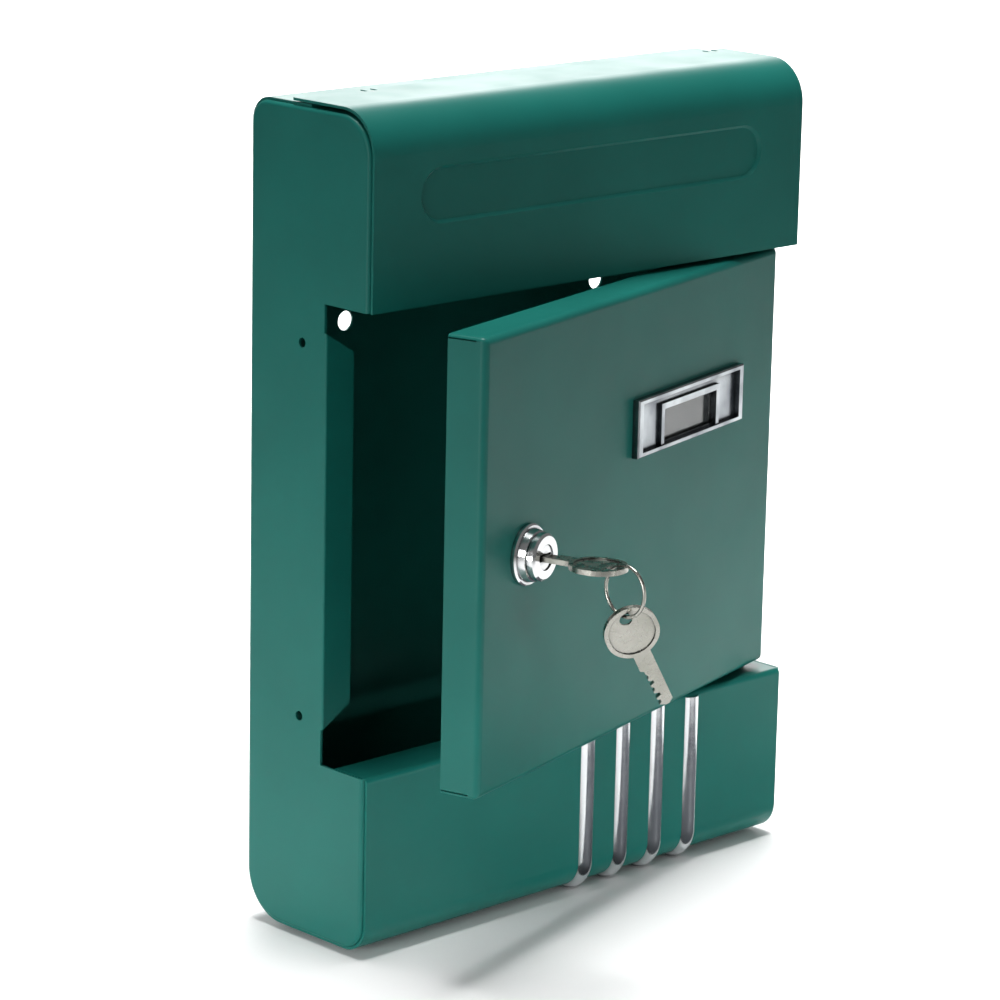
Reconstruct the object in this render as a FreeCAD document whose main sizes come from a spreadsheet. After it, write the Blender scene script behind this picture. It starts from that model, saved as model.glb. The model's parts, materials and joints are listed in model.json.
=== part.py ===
import FreeCAD, Part
import math
import os

from FreeCAD import Placement, Rotation, Vector

# Wall mounted sheet steel mailbox, in millimetres.
# The shapes are built in the box frame: x across, y = 0 on the back, z = 0 under the box.
# Every placement then lowers them, so that the model's origin lies midway between the wall holes.

SIZES = [
    # the box
    ("box_width", 218, "over both side panels"),
    ("box_depth", 64, "back of the box to the front of the lid"),
    ("box_height", 301, "bottom to the top of the wrap"),
    ("sheet_gauge", 1, "all the steel sheet"),
    ("hole_line", 215, "wall holes above the bottom"),
    ("wall_hole_pitch", 128, "between the wall holes"),
    ("wall_hole_dia", 7.2, ""),
    # side panels
    ("panel_flange", 8.2, "width of the flange all round, clear of the lid tabs"),
    ("panel_inset", 1.05, "wrap thickness and seam"),
    ("panel_front_inset", 1.4, "lid thickness and its clearance"),
    ("panel_bend", 1.5, "outer bend radius of the panel flange"),
    ("notch_depth", 23.6, "front of the box to the door stop"),
    ("notch_low", 65.9, "lower end of the door opening"),
    ("notch_high", 232.8, "upper end of the door opening"),
    ("stop_width", 13, "door stop flange, from the outside"),
    ("stop_root_low", 79, "door stop where it leaves the panel"),
    ("stop_root_high", 222.5, ""),
    ("stop_mitre", 8, "slope of the ends of the door stop"),
    ("panel_hole_dia", 3.6, "hinge rivet holes, both panels"),
    ("panel_hole_back", 28.8, "hinge rivet holes from the back"),
    ("panel_hole_spread", 135.8, "between the hinge rivet holes"),
    ("door_middle", 149.5, "height of the middle of the door"),
    # wrap
    ("wrap_side_gap", 1.5, "edge of the wrap from the outside of the panel"),
    ("wrap_front", 63.7, "front of the lower band"),
    ("wrap_top_reach", 31, "top edge of the wrap from the back"),
    ("top_rear_bend", 9, "outer radius"),
    ("low_rear_bend", 18, "outer radius"),
    ("low_front_bend", 11, "outer radius"),
    ("lip_depth", 17, "lip over the lower band"),
    ("lip_bend", 2, "outer radius"),
    ("tab_slot_width", 7, "slots for the lid tabs"),
    ("tab_slot_front", 28, "slot from the back, front end"),
    ("tab_slot_rear", 21.4, "slot from the back, rear end"),
    # lid
    ("lid_rear", 22, "rear edge of the lid from the back"),
    ("lid_top", 302.4, "top of the lid"),
    ("lid_low", 232.7, "lower edge of the apron"),
    ("lid_bend", 16, "outer radius"),
    ("lid_tab_pitch", 174, "between the two tabs"),
    ("lid_tab_shift", 11.5, "middle of the tabs right of the middle of the box"),
    ("lid_tab_width", 3, ""),
    ("lid_tab_relief", 1.6, "notch on both sides of a tab"),
    ("lid_tab_drop", 3.6, "tab below the middle of the lid sheet"),
    ("lid_tab_hook", 2.6, "hook under the wrap"),
    ("lid_axis_inset", 0.3, "turning line ahead of the rear edge"),
    ("lid_open_limit", 95, "degrees"),
    ("panel_press_length", 172, "pressed field on the apron"),
    ("panel_press_height", 20, ""),
    ("panel_press_middle", 271, "its height above the bottom"),
    ("panel_press_depth", 1.2, ""),
    ("panel_press_slope", 1.1, "width of its sloping edge"),
    # door
    ("door_left", 108, "left edge of the door from the middle"),
    ("door_right", 104.5, "right edge of the door from the middle"),
    ("door_face", 57.5, "outer face of the shut door from the back"),
    ("door_pan", 15.3, "depth of the door pan"),
    ("door_height", 162.6, ""),
    ("door_bend", 2.5, "outer radius round the face"),
    ("door_corner", 1.4, "outer radius between two flanges"),
    ("door_slit", 0.5, "open corner between two flanges"),
    ("hinge_side_flange", 9, "the flange beside the hinge is shallower"),
    ("hinge_side_relief", 8, "and stops short of the ends"),
    ("hinge_x", 100, "hinge axis from the middle"),
    ("hinge_back", 50, "hinge axis from the back"),
    ("door_open", 15, "degrees, as it stands here"),
    # hinge
    ("bracket_gauge", 1.5, ""),
    ("bracket_gap", 2.6, "bracket to door flange, washer between"),
    ("bracket_leaf", 17, "height of the riveted leaf"),
    ("bracket_leaf_rear", 20, "from the back"),
    ("bracket_leaf_front", 38.5, "from the back"),
    ("bracket_shoulder", 41.4, "where the arm narrows, from the back"),
    ("leaf_seam", 0.05, "between the leaf and the panel"),
    ("bracket_neck", 3, "half width at the pin"),
    ("hinge_pin_radius", 1.5, ""),
    ("hinge_pin_length", 8.2, ""),
    ("pin_head_radius", 2.6, ""),
    ("pin_head_height", 1.2, ""),
    ("hinge_fit", 0.05, "radial clearance of the pin"),
    ("washer_radius", 3, ""),
    ("washer_height", 2.2, ""),
    ("rivet_head_radius", 3.2, ""),
    ("rivet_head_height", 1, ""),
    # lock
    ("lock_x", 78.5, "left of the middle"),
    ("lock_height", 150, "above the bottom"),
    ("barrel_radius", 8, ""),
    ("barrel_length", 16, "behind the door's face"),
    ("bezel_radius", 11, ""),
    ("bezel_height", 2, ""),
    ("crown_radius_rear", 9.6, ""),
    ("crown_radius_front", 8.4, ""),
    ("crown_height", 8, "front of the lock ahead of the face"),
    ("lock_hole_radius", 8.3, ""),
    ("nut_radius", 11.5, "across the corners"),
    ("nut_height", 3, ""),
    ("plug_radius", 4.6, ""),
    ("plug_fit", 0.05, ""),
    ("plug_recess", 0.5, "plug behind the crown"),
    ("keyway_width", 7.4, ""),
    ("keyway_gap", 2.4, ""),
    ("keyway_length", 20, ""),
    ("cam_offset", 17.5, "front of the cam behind the face"),
    ("cam_gauge", 1.5, ""),
    ("cam_reach", 25, "axis to the tip"),
    ("cam_half_width", 6, ""),
    ("post_side", 5, "square post under the cam"),
    ("cam_screw_radius", 1.5, ""),
    ("cam_screw_length", 8, ""),
    ("cam_head_radius", 3.6, ""),
    ("cam_head_height", 2, ""),
    ("cam_turn", 90, "degrees from open to locked"),
    # keys
    ("key_gauge", 1.8, ""),
    ("blade_width", 6.4, ""),
    ("blade_step", 1.2, "cut edge under the shoulder"),
    ("blade_cut_length", 17, "tip to the shoulder"),
    ("blade_inside", 13.8, "blade behind the front of the lock"),
    ("blade_outside", 10.2, "blade ahead of the front of the lock"),
    ("bow_length", 20.8, ""),
    ("bow_width", 19.4, ""),
    ("bow_dish", 0.5, "depth of the dished middle"),
    ("bow_rim", 1.5, ""),
    ("bow_hole_radius", 2.3, ""),
    ("bow_hole_edge", 4.5, "hole to the end of the bow"),
    ("ring_radius", 9, "mean radius"),
    ("ring_wire", 0.65, ""),
    ("ring_turn", 14, "degrees about the vertical, from the key"),
    ("ring_drop", 6.6, "ring centre under the bow"),
    ("ring_out", 5.8, "ring centre beyond the hole"),
    ("spare_drop", 1.2, "hole of the spare key under the wire"),
    ("spare_twist", 57, "degrees about the vertical, from edge on to the ring"),
    ("spare_lean", 32, "degrees from hanging straight"),
    # name plate
    ("plate_x", 34.5, "right of the middle"),
    ("plate_height", 180.5, "above the bottom"),
    ("plate_length", 80, ""),
    ("plate_width", 21.5, ""),
    ("plate_depth", 2.8, ""),
    ("plate_rim", 1.7, "above and below"),
    ("plate_side_rim", 3.2, ""),
    ("plate_floor", 0.8, ""),
    ("arch_length", 44, "inner three sided frame"),
    ("arch_width", 15.4, ""),
    ("arch_rim", 2.2, ""),
    ("arch_rise", 1.3, "above the floor"),
    ("pocket_depth", 1.6, "card pocket behind the door's face"),
    ("pocket_wall", 0.8, ""),
    ("pocket_gap", 0.3, "cut-out of the door round the pocket"),
    ("insert_gap", 0.2, "card and window inside the pocket"),
    ("card_gauge", 0.3, ""),
    ("window_gauge", 0.6, ""),
    ("stud_pitch", 64, ""),
    ("stud_radius", 1.5, ""),
    ("stud_length", 5, ""),
    ("clip_radius", 4, ""),
    ("clip_height", 1.2, ""),
    # trim strips
    ("strip_width", 7.2, ""),
    ("strip_rise", 2, ""),
    ("strip_pitch", 18.5, ""),
    ("strip_first_x", 3, "middle of the first strip"),
    ("strip_top", 64.4, "height of the upper end"),
    ("strip_wrap", 78, "degrees round the lower bend"),
]

doc = FreeCAD.newDocument("Mailbox")
sheet = doc.addObject("Spreadsheet::Sheet", "Sizes")
for row, (alias, value, note) in enumerate(SIZES, start=1):
    sheet.set("A%d" % row, alias)
    sheet.set("B%d" % row, str(value))
    sheet.set("C%d" % row, note)
    sheet.setAlias("B%d" % row, alias)
doc.recompute()


class SheetReader:
    """Gives each size of the spreadsheet as an attribute."""

    def __getattr__(self, alias):
        return float(sheet.get(alias))


size = SheetReader()
nodes = []

X_AXIS = Vector(1, 0, 0)
Y_AXIS = Vector(0, 1, 0)
Z_AXIS = Vector(0, 0, 1)
ORIGIN = Vector(0, 0, 0)

# box frame to model frame
BOX = Placement(Vector(0, 0, -size.hole_line), Rotation())


def turned(point, axis, degrees):
    """Placement that turns about a line through the point."""
    spin = Placement(ORIGIN, Rotation(axis, degrees))
    there = Placement(point, Rotation())
    return there.multiply(spin).multiply(there.inverse())


HINGE_POINT = Vector(size.hinge_x, -size.hinge_back, 0)
DOOR = BOX.multiply(turned(HINGE_POINT, Z_AXIS, size.door_open))


# ---------------------------------------------------------------- helpers

def keep(name, obj):
    """Lists an object as a finished sub-part under its own name."""
    obj.Label = name
    nodes.append(obj)
    return obj


def feature(name, shape, frame):
    """Sub-part from a finished shape, placed in the given frame."""
    obj = doc.addObject("Part::Feature", name)
    obj.Shape = shape
    obj.Placement = frame
    return keep(name, obj)


def bound(kind, name, placement, **expressions):
    """Part primitive with its sizes driven by the spreadsheet."""
    obj = doc.addObject(kind, name)
    for prop, expression in expressions.items():
        obj.setExpression(prop, expression)
    obj.Placement = placement
    return obj


def box_between(low, high):
    """Plain block between two corners."""
    low = Vector(*low)
    span = Vector(*high) - low
    return Part.makeBox(span.x, span.y, span.z, low)


def rod(radius, start, end):
    """Cylinder from one point to another."""
    start = Vector(*start)
    line = Vector(*end) - start
    return Part.makeCylinder(radius, line.Length, start, line)


def prism(points, direction):
    """Flat polygon pushed along a direction."""
    corners = [Vector(*point) for point in points]
    return Part.Face(Part.makePolygon(corners + corners[:1])).extrude(Vector(*direction))


def corner_arc(before, corner, after, radius):
    """Start, middle and end of the arc that rounds a corner."""
    to_before = (before - corner).normalize()
    to_after = (after - corner).normalize()
    half = to_before.getAngle(to_after) / 2
    bisector = (to_before + to_after).normalize()
    reach = radius / math.tan(half)
    centre = corner + bisector * (radius / math.sin(half))
    return corner + to_before * reach, centre - bisector * radius, corner + to_after * reach


def rounded_edges(corners, radii, closed):
    """Lines and arcs through the corners, each rounded by its own radius."""
    count = len(corners)
    edges = []
    last = None if closed else corners[0]
    first = None
    for index in range(count):
        if not closed and index in (0, count - 1):
            continue
        before = corners[index - 1]
        after = corners[(index + 1) % count]
        start, middle, end = corner_arc(before, corners[index], after, radii[index])
        if last is None:
            first = start
        elif (start - last).Length > 1e-6:
            edges.append(Part.makeLine(last, start))
        edges.append(Part.Arc(start, middle, end).toShape())
        last = end
    final = first if closed else corners[-1]
    if (final - last).Length > 1e-6:
        edges.append(Part.makeLine(last, final))
    return edges


def offset_line(corners, gauge):
    """Open line of (y, z) corners moved sideways to the left by the gauge."""
    normals = []
    for start, end in zip(corners, corners[1:]):
        run = (end - start).normalize()
        normals.append(Vector(0, -run.z, run.y))
    moved = [corners[0] + normals[0] * gauge]
    for corner, one, two in zip(corners[1:-1], normals, normals[1:]):
        moved.append(corner + (one + two) * (gauge / (1 + one.dot(two))))
    moved.append(corners[-1] + normals[-1] * gauge)
    return moved


def bent_sheet(profile, radii, gauge, x_from, x_to):
    """Sheet bent along an open (y, z) profile of its outside.

    The sheet lies to the left of the profile, or to the right for a negative gauge.
    """
    outer = [Vector(x_from, y, z) for y, z in profile]
    inner = offset_line(outer, gauge)
    outside = rounded_edges(outer, radii, False)
    inside = rounded_edges(inner, [max(r - abs(gauge), 0.2) for r in radii], False)
    ends = [Part.makeLine(outer[0], inner[0]), Part.makeLine(outer[-1], inner[-1])]
    wire = Part.Wire(Part.__sortEdges__(outside + inside + ends))
    return Part.Face(wire).extrude(Vector(x_to - x_from, 0, 0))


def edges_in_plane(shape, axis, value):
    """Edges that lie wholly in the plane where the given coordinate has the value."""
    found = []
    for edge in shape.Edges:
        spots = [edge.valueAt(edge.FirstParameter + (edge.LastParameter - edge.FirstParameter) * part)
                 for part in (0, 0.5, 1)]
        if all(abs(getattr(spot, axis) - value) < 1e-4 for spot in spots):
            found.append(edge)
    return found


def edges_along(shape, axis):
    """Straight edges parallel to an axis."""
    found = []
    for edge in shape.Edges:
        run = edge.valueAt(edge.LastParameter) - edge.valueAt(edge.FirstParameter)
        if edge.Curve.TypeId == "Part::GeomLine" and run.Length > 1e-6:
            if abs(abs(run.normalize().dot(axis)) - 1) < 1e-6:
                found.append(edge)
    return found


def stadium(middle_x, y, middle_z, length, height):
    """Closed line with round ends, upright in the plane of the front."""
    radius = height / 2
    reach = length / 2 - radius
    left = Vector(middle_x - reach, y, middle_z)
    right = Vector(middle_x + reach, y, middle_z)
    up = Vector(0, 0, radius)
    side = Vector(radius, 0, 0)
    return Part.Wire([
        Part.makeLine(left + up, right + up),
        Part.Arc(right + up, right + side, right - up).toShape(),
        Part.makeLine(right - up, left - up),
        Part.Arc(left - up, left - side, left + up).toShape(),
    ])


def mirrored_x(shape):
    return shape.mirror(ORIGIN, X_AXIS)


def mirrored_z(shape, height):
    return shape.mirror(Vector(0, 0, height), Z_AXIS)


# ---------------------------------------------------------------- side panels

def panel_outline(x, inward):
    """Closed outline of a side panel's flange, moved inward by a distance."""
    rear = -size.panel_inset - inward
    front = -(size.box_depth - size.panel_front_inset) + inward
    low = size.panel_inset + inward
    high = size.box_height - size.panel_inset - inward
    corners = [Vector(x, front, high), Vector(x, rear, high), Vector(x, rear, low), Vector(x, front, low)]
    radii = [
        size.lid_bend - size.panel_front_inset - inward,
        size.top_rear_bend - size.panel_inset - inward,
        size.low_rear_bend - size.panel_inset - inward,
        size.low_front_bend - size.panel_inset - inward,
    ]
    return Part.Wire(rounded_edges(corners, radii, True))


def left_panel_shape():
    """Flanged side panel with the notch for the door and its stop flange."""
    gauge = size.sheet_gauge
    outside = -size.box_width / 2
    tray = Part.Face(panel_outline(outside, 0)).extrude(X_AXIS * size.panel_flange)
    tray = tray.makeFillet(size.panel_bend, edges_in_plane(tray, "x", outside))
    hollow = Part.Face(panel_outline(outside + gauge, gauge)).extrude(X_AXIS * size.panel_flange)
    hollow = hollow.makeFillet(size.panel_bend - gauge, edges_in_plane(hollow, "x", outside + gauge))
    panel = tray.cut(hollow)

    stop_back = -(size.box_depth - size.notch_depth)
    notch = box_between((outside - 1, -size.box_depth, size.notch_low),
                        (outside + 20, stop_back, size.notch_high))
    # the flange ends lower than the web, to leave room for the lip of the band
    lip_room = box_between((outside + size.panel_bend, -size.box_depth, size.notch_low - gauge - 0.3),
                           (outside + 20, stop_back - 3, size.notch_low + 1))
    panel = panel.cut(notch).cut(lip_room)

    stop_front = stop_back - gauge
    low, high, mitre = size.stop_root_low, size.stop_root_high, size.stop_mitre
    inner_x = outside + size.stop_width
    stop = prism([(outside, stop_front, low), (inner_x, stop_front, low + mitre),
                  (inner_x, stop_front, high - mitre), (outside, stop_front, high)], (0, gauge, 0))
    bend = [edge for edge in edges_along(stop, Z_AXIS)
            if abs(edge.Vertexes[0].X - outside) < 1e-4 and abs(edge.Vertexes[0].Y - stop_front) < 1e-4]
    stop = stop.makeFillet(gauge - 0.2, bend)
    root = box_between((outside, stop_back - 0.1, low), (outside + gauge, stop_back + gauge, high))
    panel = panel.fuse(stop.fuse(root)).removeSplitter()

    for side in (-1, 1):
        height = size.door_middle + side * size.panel_hole_spread / 2
        hole = rod(size.panel_hole_dia / 2, (outside - 1, -size.panel_hole_back, height),
                   (outside + 3, -size.panel_hole_back, height))
        panel = panel.cut(hole)
    return panel


def make_side_panels():
    left = left_panel_shape()
    feature("side_panel_left", left, BOX)
    feature("side_panel_right", mirrored_x(left), BOX)


# ---------------------------------------------------------------- wrap

def make_wrap():
    """One sheet that makes the rear half of the top, the back, the bottom, the lower band and its lip."""
    half = size.box_width / 2 - size.wrap_side_gap
    top = size.box_height
    front = -size.wrap_front
    profile = [(-size.wrap_top_reach, top), (0, top), (0, 0), (front, 0),
               (front, size.notch_low), (front + size.lip_depth, size.notch_low)]
    radii = [0, size.top_rear_bend, size.low_rear_bend, size.low_front_bend, size.lip_bend, 0]
    # walked clockwise as seen from the left, so the inside lies on the other hand
    wrap = bent_sheet([(y, z) for y, z in profile], radii, -size.sheet_gauge, -half, half)

    for side in (-1, 1):
        across = side * size.wall_hole_pitch / 2
        wall_hole = rod(size.wall_hole_dia / 2, (across, 2, size.hole_line), (across, -4, size.hole_line))
        wrap = wrap.cut(wall_hole)
        slot_x = size.lid_tab_shift + side * size.lid_tab_pitch / 2
        slot = box_between((slot_x - size.tab_slot_width / 2, -size.tab_slot_front, top - 3),
                           (slot_x + size.tab_slot_width / 2, -size.tab_slot_rear, top + 3))
        wrap = wrap.cut(slot)
    feature("body_wrap", wrap, BOX)


def make_trim_strips():
    """Four bright half round strips on the lower band, following its lower bend."""
    front = -size.wrap_front
    bend = size.low_front_bend
    half = size.strip_width / 2
    for index in range(4):
        middle = size.strip_first_x + index * size.strip_pitch
        left = Vector(middle - half, front, bend)
        crest = Vector(middle, front - size.strip_rise, bend)
        right = Vector(middle + half, front, bend)
        section = Part.Face(Part.Wire([Part.Arc(left, crest, right).toShape(), Part.makeLine(right, left)]))
        straight = section.extrude(Vector(0, 0, size.strip_top - bend))
        curl = section.revolve(Vector(0, front + bend, bend), X_AXIS, size.strip_wrap)
        strip = straight.fuse(curl).removeSplitter()
        feature("trim_strip_%d" % (index + 1), strip, BOX)


# ---------------------------------------------------------------- lid

def make_lid():
    """Bent lid over the front half of the top and the upper front, hooked in by two tabs."""
    gauge = size.sheet_gauge
    half = size.box_width / 2 - size.wrap_side_gap + 0.5
    front = -size.box_depth
    profile = [(-size.lid_rear, size.lid_top), (front, size.lid_top), (front, size.lid_low)]
    lid = bent_sheet(profile, [0, size.lid_bend, 0], gauge, -half, half)

    # pressed field: a sloping recess outside and the matching bulge inside
    def pressed(y_rim, y_floor, shrink):
        rim = stadium(0, y_rim, size.panel_press_middle,
                      size.panel_press_length - shrink, size.panel_press_height - shrink)
        slope = 2 * size.panel_press_slope + shrink
        floor = stadium(0, y_floor, size.panel_press_middle,
                        size.panel_press_length - slope, size.panel_press_height - slope)
        return Part.makeLoft([rim, floor], True, True)

    depth = size.panel_press_depth
    bulge = pressed(front + gauge, front + gauge + depth, -0.6)
    lid = lid.fuse(bulge).cut(pressed(front, front + depth, 0)).removeSplitter()

    sheet_middle = size.lid_top - gauge / 2
    for side in (-1, 1):
        middle = size.lid_tab_shift + side * size.lid_tab_pitch / 2
        half_tab = size.lid_tab_width / 2
        for hand in (-1, 1):
            near = middle + hand * half_tab
            far = near + hand * size.lid_tab_relief
            lid = lid.cut(box_between((min(near, far), -size.lid_rear - 4, size.lid_top - 2),
                                      (max(near, far), -size.lid_rear + 1, size.lid_top + 1)))
        rear = -size.lid_rear
        low = sheet_middle - size.lid_tab_drop
        tab = [(rear - gauge, size.lid_top - gauge), (rear - gauge, low), (rear + size.lid_tab_hook, low)]
        hook = bent_sheet(tab, [0, gauge + 0.2, 0], gauge, middle - half_tab, middle + half_tab)
        joint = box_between((middle - half_tab, rear - gauge, size.lid_top - gauge - 0.2),
                            (middle + half_tab, rear, size.lid_top - gauge / 2))
        lid = lid.fuse(hook.fuse(joint))
    feature("lid", lid.removeSplitter(), BOX)


# ---------------------------------------------------------------- door

def make_door():
    """Door pan: one sheet with a flange on all four sides."""
    gauge = size.sheet_gauge
    left, right = -size.door_left, size.door_right
    face, rear = -size.door_face, -size.door_face + size.door_pan
    low = size.door_middle - size.door_height / 2
    high = size.door_middle + size.door_height / 2

    block = box_between((left, face, low), (right, rear, high))
    block = block.makeFillet(size.door_corner, edges_along(block, Y_AXIS))
    block = block.makeFillet(size.door_bend, edges_in_plane(block, "y", face))
    room = box_between((left + gauge, face + gauge, low + gauge), (right - gauge, rear + 5, high - gauge))
    room = room.makeFillet(size.door_corner - gauge, edges_along(room, Y_AXIS))
    room = room.makeFillet(size.door_bend - gauge, edges_in_plane(room, "y", face + gauge))
    door = block.cut(room)

    # open corners, where the end of each side flange stops under the top or bottom flange
    for side in (-1, 1):
        edge = size.door_middle + side * (size.door_height / 2 - gauge)
        slit_low = min(edge, edge - side * size.door_slit)
        door = door.cut(box_between((left - 1, face + 4, slit_low),
                                    (left + 2.5, rear + 1, slit_low + size.door_slit)))

    # the hinge side flange is shallow and short
    shallow = face + size.hinge_side_flange
    door = door.cut(box_between((right - gauge - 0.5, shallow, low + gauge + 0.2),
                                (right + 1, rear + 1, high - gauge - 0.2)))
    for side in (-1, 1):
        edge = size.door_middle + side * (size.door_height / 2 - gauge)
        far = edge - side * size.hinge_side_relief
        door = door.cut(box_between((right - gauge - 0.5, face + 4, min(edge, far)),
                                    (right + 1, rear + 1, max(edge, far))))
    # swing room at the rear corner of the top and bottom flanges
    corner = prism([(right - 4.5, rear + 0.5, low - 1), (right + 1, rear + 0.5, low - 1),
                    (right + 1, rear - 4.5, low - 1)], (0, 0, size.door_height + 2))
    door = door.cut(corner)

    hinge_hole = rod(size.hinge_pin_radius + size.hinge_fit, (size.hinge_x, -size.hinge_back, low - 1),
                     (size.hinge_x, -size.hinge_back, high + 1))
    lock_hole = rod(size.lock_hole_radius, (-size.lock_x, face - 1, size.lock_height),
                    (-size.lock_x, face + 3, size.lock_height))
    door = door.cut(hinge_hole).cut(lock_hole)
    for side in (-1, 1):
        across = size.plate_x + side * size.stud_pitch / 2
        door = door.cut(rod(size.stud_radius + 0.3, (across, face - 1, size.plate_height),
                            (across, face + 3, size.plate_height)))
    (pocket_left, pocket_right), (pocket_low, pocket_high), bottom = pocket_bounds()
    room = size.pocket_wall + size.pocket_gap
    door = door.cut(box_between((pocket_left - room, face - 1, pocket_low - room),
                                (pocket_right + room, face + 3, pocket_high + room)))
    feature("door", door, DOOR)


# ---------------------------------------------------------------- hinge

def bracket_shape():
    """Upper hinge bracket: a leaf riveted inside the right panel and an arm out to the pin."""
    gauge = size.bracket_gauge
    wall = size.box_width / 2 - size.sheet_gauge - size.leaf_seam
    door_flange = size.door_middle + size.door_height / 2 - size.sheet_gauge
    top = door_flange - size.bracket_gap
    rear = -size.bracket_leaf_rear
    neck = size.bracket_neck
    shoulder = -size.bracket_shoulder
    leaf_front = -size.bracket_leaf_front
    pin_x, pin_y = size.hinge_x, -size.hinge_back

    leaf = box_between((wall - gauge, leaf_front, top - size.bracket_leaf), (wall, rear, top))
    arm = prism([(pin_x - neck, pin_y, top - gauge), (pin_x + neck, pin_y, top - gauge),
                 (pin_x + neck, shoulder, top - gauge), (wall, leaf_front, top - gauge),
                 (wall, rear, top - gauge), (pin_x - neck, rear, top - gauge)], (0, 0, gauge))
    eye = rod(neck, (pin_x, pin_y, top - gauge), (pin_x, pin_y, top))
    bracket = leaf.fuse(arm).fuse(eye).removeSplitter()
    bend = [edge for edge in edges_along(bracket, Y_AXIS)
            if abs(edge.Vertexes[0].X - wall) < 1e-4 and abs(edge.Vertexes[0].Z - top) < 1e-4]
    bracket = bracket.makeFillet(gauge - 0.1, bend)
    bracket = bracket.cut(rod(size.hinge_pin_radius, (pin_x, pin_y, top - 5), (pin_x, pin_y, top + 5)))
    hole_height = size.door_middle + size.panel_hole_spread / 2
    return bracket.cut(rod(size.panel_hole_dia / 2, (wall - 4, -size.panel_hole_back, hole_height),
                           (wall + 4, -size.panel_hole_back, hole_height)))


def upper_pin_shape():
    """Headed pin pressed into the bracket; its free end turns in the door flange."""
    door_flange = size.door_middle + size.door_height / 2 - size.sheet_gauge
    under = door_flange - size.bracket_gap - size.bracket_gauge
    foot = under - size.pin_head_height
    start = (size.hinge_x, -size.hinge_back, foot)
    pin = rod(size.hinge_pin_radius, start, (size.hinge_x, -size.hinge_back, foot + size.hinge_pin_length))
    head = rod(size.pin_head_radius, start, (size.hinge_x, -size.hinge_back, under))
    return pin.fuse(head).removeSplitter()


def upper_washer_shape():
    """Plastic spacer on the pin."""
    seat = size.door_middle + size.door_height / 2 - size.sheet_gauge - size.bracket_gap
    low = (size.hinge_x, -size.hinge_back, seat)
    high = (size.hinge_x, -size.hinge_back, seat + size.washer_height)
    return rod(size.washer_radius, low, high).cut(rod(size.hinge_pin_radius, low, high))


def upper_rivet_shape():
    """Rivet through the right panel and the bracket leaf."""
    outside = size.box_width / 2
    inside = outside - size.sheet_gauge - size.leaf_seam - size.bracket_gauge
    y, z = -size.panel_hole_back, size.door_middle + size.panel_hole_spread / 2
    radius = size.rivet_head_radius
    rise = size.rivet_head_height
    shank = rod(size.panel_hole_dia / 2, (inside - 0.5, y, z), (outside, y, z))
    dome_radius = (radius ** 2 + rise ** 2) / (2 * rise)
    dome = Part.makeSphere(dome_radius, Vector(outside + rise - dome_radius, y, z))
    dome = dome.common(rod(radius + 1, (outside, y, z), (outside + rise + 1, y, z)))
    tail = rod(radius * 0.8, (inside - rise, y, z), (inside, y, z))
    return shank.fuse(dome).fuse(tail).removeSplitter()


def make_hinge():
    middle = size.door_middle
    bracket = bracket_shape()
    feature("hinge_bracket_upper", bracket, BOX)
    feature("hinge_bracket_lower", mirrored_z(bracket, middle), BOX)
    for name, shape in (("hinge_pins", upper_pin_shape()), ("hinge_washers", upper_washer_shape()),
                        ("hinge_rivets", upper_rivet_shape())):
        feature(name, Part.makeCompound([shape, mirrored_z(shape, middle)]), BOX)


# ---------------------------------------------------------------- lock

def lock_point(behind_face):
    """Point on the lock's axis at a distance behind the door's face."""
    return (-size.lock_x, -size.door_face + behind_face, size.lock_height)


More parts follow.
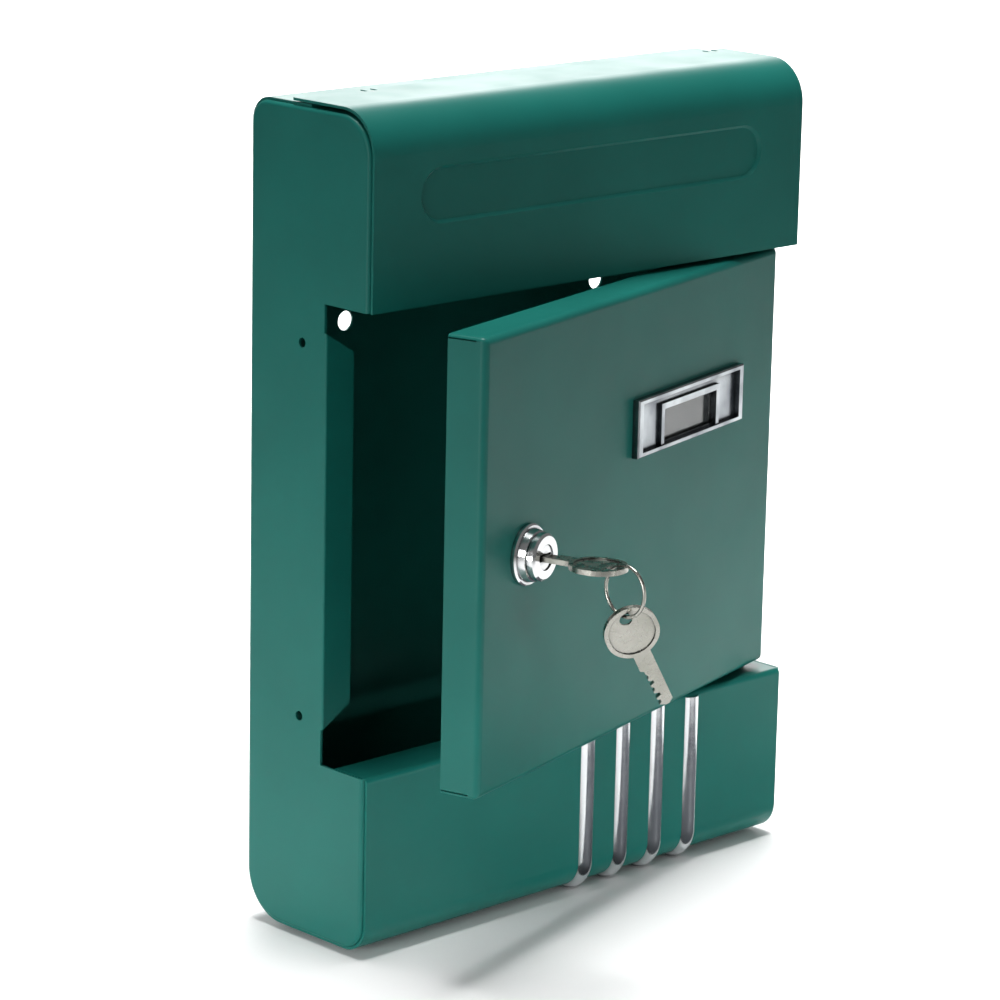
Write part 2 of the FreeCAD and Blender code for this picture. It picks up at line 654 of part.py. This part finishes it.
def make_lock():
    """Cam lock: housing, nut, plug, cam and its screw."""
    crown = -size.crown_height
    bore_radius = size.plug_radius + size.plug_fit
    profile = [(bore_radius, crown), (size.crown_radius_front - 0.8, crown),
               (size.crown_radius_front, crown + 0.8), (size.crown_radius_front + 0.2, crown + 2.2),
               (size.crown_radius_front - 0.3, crown + 2.5), (size.crown_radius_front - 0.2, crown + 3.1),
               (size.crown_radius_rear - 0.6, crown + 3.5), (size.crown_radius_rear, -size.bezel_height),
               (size.bezel_radius - 0.6, -size.bezel_height), (size.bezel_radius, -size.bezel_height + 0.6),
               (size.bezel_radius, 0), (size.barrel_radius, 0),
               (size.barrel_radius, size.barrel_length), (bore_radius, size.barrel_length)]
    centre = Vector(*lock_point(0))
    corners = [centre + Vector(radius, back, 0) for radius, back in profile]
    housing = Part.Face(Part.makePolygon(corners + corners[:1])).revolve(centre, Y_AXIS, 360)
    feature("lock_housing", housing, DOOR)

    nut = bound("Part::Prism", "lock_nut_blank", Placement(), Polygon="6", Circumradius="Sizes.nut_radius",
                Height="Sizes.nut_height")
    bore = bound("Part::Cylinder", "lock_nut_bore", Placement(Vector(0, 0, -1), Rotation()),
                 Radius="Sizes.barrel_radius + 0.05", Height="Sizes.nut_height + 2")
    ring = doc.addObject("Part::Cut", "lock_nut")
    ring.Base, ring.Tool = nut, bore
    seat = Vector(*lock_point(size.sheet_gauge))
    ring.Placement = DOOR.multiply(Placement(seat, Rotation(X_AXIS, -90)))
    keep("lock_nut", ring)

    front = -size.crown_height + size.plug_recess
    shoulder = size.cam_offset
    plug = rod(size.plug_radius, lock_point(front), lock_point(shoulder))

    def block_on_axis(half_x, half_z, start, end):
        x, y, z = lock_point(0)
        return box_between((x - half_x, y + start, z - half_z), (x + half_x, y + end, z + half_z))

    side = size.post_side / 2
    post = block_on_axis(side, side, shoulder - 1, shoulder + size.cam_gauge)
    keyway = block_on_axis(size.keyway_width / 2, size.keyway_gap / 2, front - 1, front + size.keyway_length)
    screw_end = shoulder + size.cam_gauge - size.cam_screw_length + size.cam_head_height
    thread = rod(size.cam_screw_radius, lock_point(screw_end), lock_point(shoulder + 5))
    feature("lock_plug", plug.fuse(post).cut(keyway).cut(thread).removeSplitter(), DOOR)

    # the cam hangs down while the lock is open
    half = size.cam_half_width
    x, y, z = lock_point(shoulder)
    cam = prism([(x - half, y, z), (x + half, y, z), (x + half, y, z - size.cam_reach + 2),
                 (x + half - 3, y, z - size.cam_reach), (x - half + 3, y, z - size.cam_reach),
                 (x - half, y, z - size.cam_reach + 2)], (0, size.cam_gauge, 0))
    cam = cam.fuse(rod(half, (x, y, z), (x, y + size.cam_gauge, z)))
    fit = side + 0.05
    cam = cam.cut(box_between((x - fit, y - 1, z - fit), (x + fit, y + 3, z + fit))).removeSplitter()
    feature("lock_cam", cam, DOOR)

    shank = bound("Part::Cylinder", "cam_screw_shank", Placement(), Radius="Sizes.cam_screw_radius",
                  Height="Sizes.cam_screw_length - Sizes.cam_head_height")
    head = bound("Part::Cylinder", "cam_screw_head",
                 Placement(Vector(0, 0, size.cam_screw_length - size.cam_head_height), Rotation()),
                 Radius="Sizes.cam_head_radius", Height="Sizes.cam_head_height")
    slot = bound("Part::Box", "cam_screw_slot",
                 Placement(Vector(-5, -0.5, size.cam_screw_length - 0.9), Rotation()),
                 Length="10", Width="1", Height="2")
    whole = doc.addObject("Part::Fuse", "cam_screw_blank")
    whole.Base, whole.Tool = shank, head
    screw = doc.addObject("Part::Cut", "cam_screw")
    screw.Base, screw.Tool = whole, slot
    screw.Placement = DOOR.multiply(Placement(Vector(*lock_point(screw_end)), Rotation(X_AXIS, -90)))
    keep("cam_screw", screw)


# ---------------------------------------------------------------- keys

def key_shape():
    """Flat key along +x: the tip at the origin, the dished round bow at the far end, faces up and down."""
    gauge = size.key_gauge
    half = size.blade_width / 2
    cut_edge = half - size.blade_step
    shoulder = size.blade_inside + size.blade_outside
    cuts = [(2.4, 1.0), (5.4, 1.9), (8.4, 0.8), (11.4, 1.6), (14.4, 0.6)]
    outline = [(0, -half + 1.8), (1.6, -half), (shoulder + 3, -half), (shoulder + 3, half),
               (size.blade_cut_length + 0.8, half), (size.blade_cut_length, cut_edge)]
    for along, depth in reversed(cuts):
        outline += [(along + 1.2, cut_edge), (along + 0.5, cut_edge - depth),
                    (along - 0.5, cut_edge - depth), (along - 1.2, cut_edge)]
    outline.append((0, -half + 3))
    blade = prism([(x, y, -gauge / 2) for x, y in outline], (0, 0, gauge))

    def bow(margin, low, height):
        lying = stadium(0, 0, 0, size.bow_length - 2 * margin, size.bow_width - 2 * margin)
        lying.rotate(ORIGIN, X_AXIS, -90)
        lying.translate(Vector(shoulder + size.bow_length / 2, 0, low))
        return Part.Face(lying).extrude(Z_AXIS * height)

    key = blade.fuse(bow(0, -gauge / 2, gauge)).removeSplitter()
    dish = bow(size.bow_rim, gauge / 2 - size.bow_dish, 2)
    key = key.cut(dish).cut(mirrored_z(dish, 0))
    hole_x = shoulder + size.bow_length - size.bow_hole_edge
    return key.cut(rod(size.bow_hole_radius, (hole_x, 0, -2), (hole_x, 0, 2))), hole_x


def make_keys():
    """Key standing in the lock, the ring through its bow, and the spare key on the ring."""
    key, hole_x = key_shape()
    tip = Vector(*lock_point(-size.crown_height + size.blade_inside))
    feature("key", key, DOOR.multiply(Placement(tip, Rotation(Z_AXIS, -90))))

    # the ring's own frame: x along its axis, the hole of the key's bow at the origin
    hole = tip - Y_AXIS * hole_x
    ring_frame = DOOR.multiply(Placement(hole, Rotation(Z_AXIS, -size.ring_turn)))
    centre = Vector(0, -size.ring_out, -size.ring_drop)
    ring = bound("Part::Torus", "key_ring", ring_frame.multiply(Placement(centre, Rotation(Y_AXIS, 90))),
                 Radius1="Sizes.ring_radius", Radius2="Sizes.ring_wire")
    keep("key_ring", ring)

    # the spare hangs from the ring's lowest point, leaning out sideways
    hang = centre - Z_AXIS * size.ring_radius
    tip_down = Rotation(Y_AXIS, -90)
    twist = Rotation(Z_AXIS, size.spare_twist)
    lean = Rotation(Y_AXIS, -size.spare_lean)
    spare = ring_frame.multiply(Placement(hang, lean.multiply(twist).multiply(tip_down)))
    spare = spare.multiply(Placement(Vector(-hole_x - size.spare_drop, 0, 0), Rotation()))
    feature("spare_key", key.copy(), spare)


# ---------------------------------------------------------------- name plate

def pocket_bounds():
    """Left and right, low and high, and the bottom of the card pocket, in the box frame."""
    reach = size.arch_length / 2 - size.arch_rim
    low = size.plate_height - size.plate_width / 2 + size.plate_rim
    return ((size.plate_x - reach, size.plate_x + reach),
            (low + size.pocket_wall, low + size.arch_width - size.arch_rim),
            -size.door_face + size.pocket_depth)


def make_name_plate():
    """Bright card holder: rimmed tray with studs, three sided inner frame, card, window and two clips."""
    face = -size.door_face
    x, z = size.plate_x, size.plate_height
    half_x, half_z = size.plate_length / 2, size.plate_width / 2
    front = face - size.plate_depth
    floor = face - size.plate_floor

    tray = box_between((x - half_x, front, z - half_z), (x + half_x, face, z + half_z))
    tray = tray.makeChamfer(0.5, edges_in_plane(tray, "y", front))
    rim, side_rim = size.plate_rim, size.plate_side_rim
    hollow = box_between((x - half_x + side_rim, front - 1, z - half_z + rim),
                         (x + half_x - side_rim, floor, z + half_z - rim))
    tray = tray.cut(hollow)

    low = z - half_z + rim
    arch_x, arch_top = size.arch_length / 2, low + size.arch_width
    arch = box_between((x - arch_x, floor - size.arch_rise, low - 0.5), (x + arch_x, floor + 0.2, arch_top))
    inner = arch_x - size.arch_rim
    (left, right), (pocket_low, pocket_high), bottom = pocket_bounds()
    wall = size.pocket_wall
    pocket = box_between((left - wall, floor, pocket_low - wall),
                         (right + wall, bottom + wall, pocket_high + wall))
    tray = tray.fuse(arch).fuse(pocket)
    tray = tray.cut(box_between((left, floor - 5, low), (right, floor, pocket_high)))
    tray = tray.cut(box_between((left, floor - 5, pocket_low), (right, bottom, pocket_high)))
    for side in (-1, 1):
        across = x + side * size.stud_pitch / 2
        stud = rod(size.stud_radius, (across, face - 0.4, z), (across, face + size.stud_length, z))
        tray = tray.fuse(stud)
    feature("name_plate_frame", tray.removeSplitter(), DOOR)

    sheets = (("name_card", "card_gauge", bottom - size.card_gauge - 0.02),
              ("name_window", "window_gauge", bottom - size.card_gauge - size.window_gauge - 0.1))
    for name, gauge, y in sheets:
        corner = Placement(Vector(left + size.insert_gap, y, pocket_low + size.insert_gap), Rotation())
        insert = bound("Part::Box", name, DOOR.multiply(corner),
                       Length="Sizes.arch_length - 2 * Sizes.arch_rim - 2 * Sizes.insert_gap",
                       Width="Sizes." + gauge,
                       Height="Sizes.arch_width - Sizes.arch_rim - Sizes.pocket_wall - 2 * Sizes.insert_gap")
        keep(name, insert)

    clips = []
    for side in (-1, 1):
        across = x + side * size.stud_pitch / 2
        back = face + size.sheet_gauge
        clip = rod(size.clip_radius, (across, back, z), (across, back + size.clip_height, z))
        clips.append(clip.cut(rod(size.stud_radius, (across, back - 1, z), (across, back + 3, z))))
    feature("name_plate_clips", Part.makeCompound(clips), DOOR)


# ---------------------------------------------------------------- build, check, export

make_side_panels()
make_wrap()
make_trim_strips()
make_lid()
make_door()
make_hinge()
make_lock()
make_keys()
make_name_plate()
doc.recompute()

for obj in doc.Objects:
    if "Invalid" in obj.State or "Error" in obj.State:
        raise RuntimeError("%s did not build: %s" % (obj.Label, obj.State))
os.makedirs("parts", exist_ok=True)
for obj in nodes:
    shape = obj.Shape
    if shape.isNull() or not shape.isValid():
        raise RuntimeError("%s has no valid shape" % obj.Label)
    shape.exportStep("parts/%s.step" % obj.Label)
    box = shape.BoundBox
    print("%-20s solids %d  volume %9.1f  x %.1f..%.1f  y %.1f..%.1f  z %.1f..%.1f" % (
        obj.Label, len(shape.Solids), shape.Volume,
        box.XMin, box.XMax, box.YMin, box.YMax, box.ZMin, box.ZMax))
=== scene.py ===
import json
import math

import bpy
from mathutils import Matrix, Vector


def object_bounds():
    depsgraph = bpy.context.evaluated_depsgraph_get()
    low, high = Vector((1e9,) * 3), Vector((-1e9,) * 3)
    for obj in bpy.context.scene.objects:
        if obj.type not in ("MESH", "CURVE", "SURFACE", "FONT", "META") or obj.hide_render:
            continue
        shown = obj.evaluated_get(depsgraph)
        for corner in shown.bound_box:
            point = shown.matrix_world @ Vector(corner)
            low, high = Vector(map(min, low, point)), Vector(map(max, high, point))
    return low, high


# Wall mounted sheet steel mailbox: camera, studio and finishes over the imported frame.
# Lengths are in metres. The origin lies midway between the two wall holes, on the back of the box.

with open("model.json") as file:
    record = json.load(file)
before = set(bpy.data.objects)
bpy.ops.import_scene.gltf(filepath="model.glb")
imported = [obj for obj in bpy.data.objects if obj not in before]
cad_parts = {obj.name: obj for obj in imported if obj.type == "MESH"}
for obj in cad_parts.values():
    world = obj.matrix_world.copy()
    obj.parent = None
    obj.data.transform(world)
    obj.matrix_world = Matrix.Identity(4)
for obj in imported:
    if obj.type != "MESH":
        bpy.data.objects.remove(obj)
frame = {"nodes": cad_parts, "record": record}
cad_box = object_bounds()

CAMERA_PLACE = Vector((-1.0118, -1.0602, 0.2904))
CAMERA_YAW = 44.125
CAMERA_PITCH = 14.067
CAMERA_ROLL = 1.208
CAMERA_LENS = 144.53
SENSOR_WIDTH = 36.0

PAINT_DARK = (0.0056, 0.115, 0.095)
PAINT_LIGHT = (0.0066, 0.133, 0.110)

# darkest and lightest tone of each plated metal, then its smoothest and roughest polish
METALS = {
    "chrome_strip": ((0.72, 0.74, 0.76), (0.82, 0.84, 0.85), 0.12, 0.20),
    "chrome_lock": ((0.78, 0.79, 0.80), (0.88, 0.89, 0.90), 0.08, 0.16),
    "chrome_plastic": ((0.20, 0.22, 0.25), (0.62, 0.66, 0.68), 0.14, 0.26),
    "zinc_steel": ((0.44, 0.45, 0.46), (0.62, 0.63, 0.64), 0.28, 0.42),
    "key_nickel": ((0.34, 0.34, 0.30), (0.46, 0.45, 0.41), 0.20, 0.34),
}
METAL_GRAIN = 0.003
METAL_RELIEF = 2e-6

# painted shade on the metals: how far from a corner or step it reaches, and its darkest tone
CORNER_SHADE_REACH = 0.002
RECESS_SHADE_REACH = 0.008
PAINTED_SHADE_TONE = (0.16, 0.17, 0.18)

NYLON_DARK = (0.62, 0.61, 0.56)
NYLON_LIGHT = (0.70, 0.69, 0.64)
NAME_CARD_DARK = (0.030, 0.036, 0.036)
NAME_CARD_LIGHT = (0.055, 0.062, 0.062)
CLEAR = (0.96, 0.98, 0.98, 1.0)
ACRYLIC_IOR = 1.49

FLOOR_HALF_SIZE = 6.0
FLOOR_COLOUR = (0.9, 0.9, 0.9)
SKY_STRENGTH = 0.16

# two opposite corners of a dark card that lies on the floor and shows only in reflections
CARD_CORNERS = ((-0.02, -0.28), (0.20, -0.068))
CARD_COLOUR = (0.05, 0.055, 0.065)
CARD_LIFT = 0.0005

# name: (place, what it points at, width, height, watts, spread in degrees)
LIGHTS = {
    "floor_near": ((0.20, 0.20, 2.0), (0.20, 0.20, 0.0), 1.0, 1.0, 9.0, 50),
    "floor_middle": ((0.90, 0.90, 2.0), (0.90, 0.90, 0.0), 0.6, 0.6, 13.0, 55),
    "floor_far": ((1.70, 1.70, 2.0), (1.70, 1.70, 0.0), 0.7, 0.7, 20.0, 70),
    "behind": ((1.9, 1.9, 0.9), (0.0, 0.0, 0.05), 2.2, 1.2, 5.0, 60),
    "right_low": ((0.75, -0.26, -0.12), (0.05, -0.08, -0.05), 0.3, 0.3, 0.08, 140),
    "left_low": ((-1.0, -0.1, -0.12), (-0.1, -0.05, -0.26), 0.3, 0.3, 0.35, 40),
    "front_low": ((0.25, -0.95, -0.14), (-0.02, -0.08, -0.26), 0.4, 0.15, 0.2, 34),
    "camera_left": ((-1.9, -0.75, 0.5), (0.0, 0.0, -0.05), 1.0, 1.0, 8.0, 180),
}


# ---------------------------------------------------------------- small helpers


class Tree:
    """A material's node tree with short calls for the nodes it needs."""

    def __init__(self, name):
        self.material = bpy.data.materials.new(name)
        self.material.use_nodes = True
        self.nodes = self.material.node_tree.nodes
        self.links = self.material.node_tree.links
        self.shader = self.nodes["Principled BSDF"]
        self.place = self.node("ShaderNodeTexCoord").outputs["Object"]

    def node(self, kind, **settings):
        made = self.nodes.new(kind)
        for key, value in settings.items():
            setattr(made, key, value)
        return made

    def set(self, **values):
        """Plain values on the shader, with _ for the spaces in a socket's name."""
        for key, value in values.items():
            self.shader.inputs[key.replace("_", " ")].default_value = value

    def link(self, output, target):
        self.links.new(output, target)

    def noise(self, size, detail=2.0, stretch=(1, 1, 1)):
        """Noise whose grains are about size metres wide."""
        mapping = self.node("ShaderNodeMapping")
        mapping.inputs["Scale"].default_value = [s / size for s in stretch]
        self.link(self.place, mapping.inputs["Vector"])
        noise = self.node("ShaderNodeTexNoise")
        noise.inputs["Scale"].default_value = 1.0
        noise.inputs["Detail"].default_value = detail
        self.link(mapping.outputs["Vector"], noise.inputs["Vector"])
        return noise.outputs["Fac"]

    def mottle(self, source, dark, light):
        """Base colour that drifts between two tones with the source."""
        tone = self.ramp(source, [(0.3, dark), (0.7, light)])
        self.link(tone, self.shader.inputs["Base Color"])

    def polish(self, source, smooth, rough):
        """Roughness that drifts between two values with the source."""
        self.link(self.remap(source, smooth, rough), self.shader.inputs["Roughness"])

    def ramp(self, source, stops):
        """A colour ramp through (position, colour) stops."""
        ramp = self.node("ShaderNodeValToRGB")
        elements = ramp.color_ramp.elements
        while len(elements) < len(stops):
            elements.new(0.5)
        for element, (position, colour) in zip(elements, stops):
            element.position = position
            element.color = (*colour, 1.0)
        self.link(source, ramp.inputs["Fac"])
        return ramp.outputs["Color"]

    def remap(self, source, low, high, start=0.3, end=0.7):
        """source from start to end, spread over low to high."""
        remap = self.node("ShaderNodeMapRange")
        for key, value in (("From Min", start), ("From Max", end), ("To Min", low), ("To Max", high)):
            remap.inputs[key].default_value = value
        self.link(source, remap.inputs["Value"])
        return remap.outputs["Result"]

    def bump(self, layers):
        """Bumps one over the other, from (height source, depth in metres) pairs."""
        below = None
        for source, depth in layers:
            bump = self.node("ShaderNodeBump")
            bump.inputs["Strength"].default_value = 1.0
            bump.inputs["Distance"].default_value = depth
            self.link(source, bump.inputs["Height"])
            if below is not None:
                self.link(below, bump.inputs["Normal"])
            below = bump.outputs["Normal"]
        self.link(below, self.shader.inputs["Normal"])


# ---------------------------------------------------------------- finishes


def green_paint():
    """Satin powder coat: slightly uneven green over a fine orange peel."""
    tree = Tree("green_paint")
    tree.mottle(tree.noise(0.05, 3.0), PAINT_DARK, PAINT_LIGHT)
    tree.polish(tree.noise(0.02, 3.0), 0.36, 0.42)
    tree.bump([(tree.noise(0.0016, 1.0), 6e-6), (tree.noise(0.0004, 1.0), 1.5e-6)])
    tree.set(Specular_IOR_Level=0.2, Coat_Weight=0.02, Coat_Roughness=0.2)
    return tree.material


def bright_metal(name, reach=CORNER_SHADE_REACH):
    """Plated metal, a little uneven in tone and polish, with painted shade darkening its corners and
    steps.
    """
    dark, light, smooth, rough = METALS[name]
    tree = Tree(name)
    tone = tree.ramp(tree.noise(METAL_GRAIN * 4, 3.0), [(0.3, dark), (0.7, light)])
    # painted shade: ambient occlusion darkens the base colour near corners, steps and pockets
    openness = tree.node("ShaderNodeAmbientOcclusion", samples=8)
    openness.inputs["Distance"].default_value = reach
    shade = tree.ramp(openness.outputs["AO"], [(0.45, PAINTED_SHADE_TONE), (0.95, (1, 1, 1))])
    painted_shade = tree.node("ShaderNodeVectorMath", operation="MULTIPLY")
    tree.link(tone, painted_shade.inputs[0])
    tree.link(shade, painted_shade.inputs[1])
    tree.link(painted_shade.outputs["Vector"], tree.shader.inputs["Base Color"])
    tree.polish(tree.noise(METAL_GRAIN, 3.0), smooth, rough)
    tree.bump([(tree.noise(METAL_GRAIN / 2), METAL_RELIEF)])
    tree.set(Metallic=1.0)
    return tree.material


def nylon():
    """Off white moulded plastic."""
    tree = Tree("nylon")
    tree.mottle(tree.noise(0.004), NYLON_DARK, NYLON_LIGHT)
    tree.polish(tree.noise(0.001), 0.4, 0.5)
    tree.bump([(tree.noise(0.0006), 5e-6)])
    tree.set(Subsurface_Weight=0.1, Subsurface_Scale=0.002)
    return tree.material


def card():
    """Dark grey card stock with a fibre grain."""
    tree = Tree("card")
    tree.mottle(tree.noise(0.0012, 4.0), NAME_CARD_DARK, NAME_CARD_LIGHT)
    tree.polish(tree.noise(0.002), 0.6, 0.8)
    tree.bump([(tree.noise(0.0003, 3.0, (1, 1, 4)), 1e-5)])
    return tree.material


def clear_window():
    """Clear acrylic with faint ripples."""
    tree = Tree("clear_window")
    tree.polish(tree.noise(0.006), 0.02, 0.06)
    tree.bump([(tree.noise(0.012), 8e-6)])
    tree.set(Base_Color=CLEAR, IOR=ACRYLIC_IOR, Specular_IOR_Level=0.2, Transmission_Weight=1.0)
    return tree.material


def finishes():
    made = {
        "green_paint": green_paint(),
        "nylon": nylon(),
        "card": card(),
        "clear_window": clear_window(),
    }
    for name in METALS:
        # the name plate tray's deep pocket gets painted shade that reaches further in
        reach = RECESS_SHADE_REACH if name == "chrome_plastic" else CORNER_SHADE_REACH
        made[name] = bright_metal(name, reach)
    return made


def paint_nodes(materials):
    """Gives each carried over node the finish of its slot in the record."""
    slots = {part["node"]: part["material_slot"] for part in frame["record"]["subparts"]}
    for name, node in frame["nodes"].items():
        for slot in node.material_slots:
            slot.material = materials[slots[name]]


# ---------------------------------------------------------------- studio


def make_camera():
    data = bpy.data.cameras.new("camera")
    data.lens = CAMERA_LENS
    data.sensor_width = SENSOR_WIDTH
    data.clip_start = 0.05
    data.clip_end = 50.0
    camera = bpy.data.objects.new("camera", data)
    turn = Matrix.Rotation(math.radians(-CAMERA_YAW), 4, "Z")
    lean = Matrix.Rotation(math.radians(90 - CAMERA_PITCH), 4, "X")
    roll = Matrix.Rotation(math.radians(CAMERA_ROLL), 4, "Z")
    camera.matrix_world = Matrix.Translation(CAMERA_PLACE) @ turn @ lean @ roll
    bpy.context.scene.collection.objects.link(camera)
    bpy.context.scene.camera = camera


def flat_sheet(name, corner, opposite, height, colour):
    """A level stage sheet between two corners."""
    (x0, y0), (x1, y1) = corner, opposite
    corners = [(x0, y0, height), (x1, y0, height), (x1, y1, height), (x0, y1, height)]
    mesh = bpy.data.meshes.new(name)
    mesh.from_pydata(corners, [], [(0, 1, 2, 3)])
    sheet = bpy.data.objects.new(name, mesh)
    bpy.context.scene.collection.objects.link(sheet)
    tree = Tree(name)
    tree.set(Base_Color=(*colour, 1.0), Roughness=0.8)
    mesh.materials.append(tree.material)
    return sheet


def make_floor():
    """A wide pale floor just under the box, and a dark card on it for the bright metal to reflect."""
    low = cad_box[0].z
    half = FLOOR_HALF_SIZE
    flat_sheet("floor", (-half, -half), (half, half), low, FLOOR_COLOUR)
    card_sheet = flat_sheet("dark_card", *CARD_CORNERS, low + CARD_LIFT, CARD_COLOUR)
    card_sheet.visible_camera = False
    card_sheet.visible_diffuse = False
    card_sheet.visible_shadow = False


def make_lights():
    for name, (place, aim, width, height, watts, spread) in LIGHTS.items():
        data = bpy.data.lights.new(name, "AREA")
        data.shape = "RECTANGLE"
        data.size = width
        data.size_y = height
        data.energy = watts
        data.spread = math.radians(spread)
        light = bpy.data.objects.new(name, data)
        towards = Vector(aim) - Vector(place)
        aim_turn = towards.to_track_quat("-Z", "Y").to_matrix().to_4x4()
        light.matrix_world = Matrix.Translation(place) @ aim_turn
        light.visible_camera = False
        bpy.context.scene.collection.objects.link(light)


def make_sky():
    world = bpy.data.worlds.new("sky")
    world.use_nodes = True
    background = world.node_tree.nodes["Background"]
    background.inputs["Color"].default_value = (1.0, 1.0, 1.0, 1.0)
    background.inputs["Strength"].default_value = SKY_STRENGTH
    bpy.context.scene.world = world
    bpy.context.scene.view_settings.view_transform = "Standard"


make_camera()
make_floor()
make_lights()
make_sky()
paint_nodes(finishes())
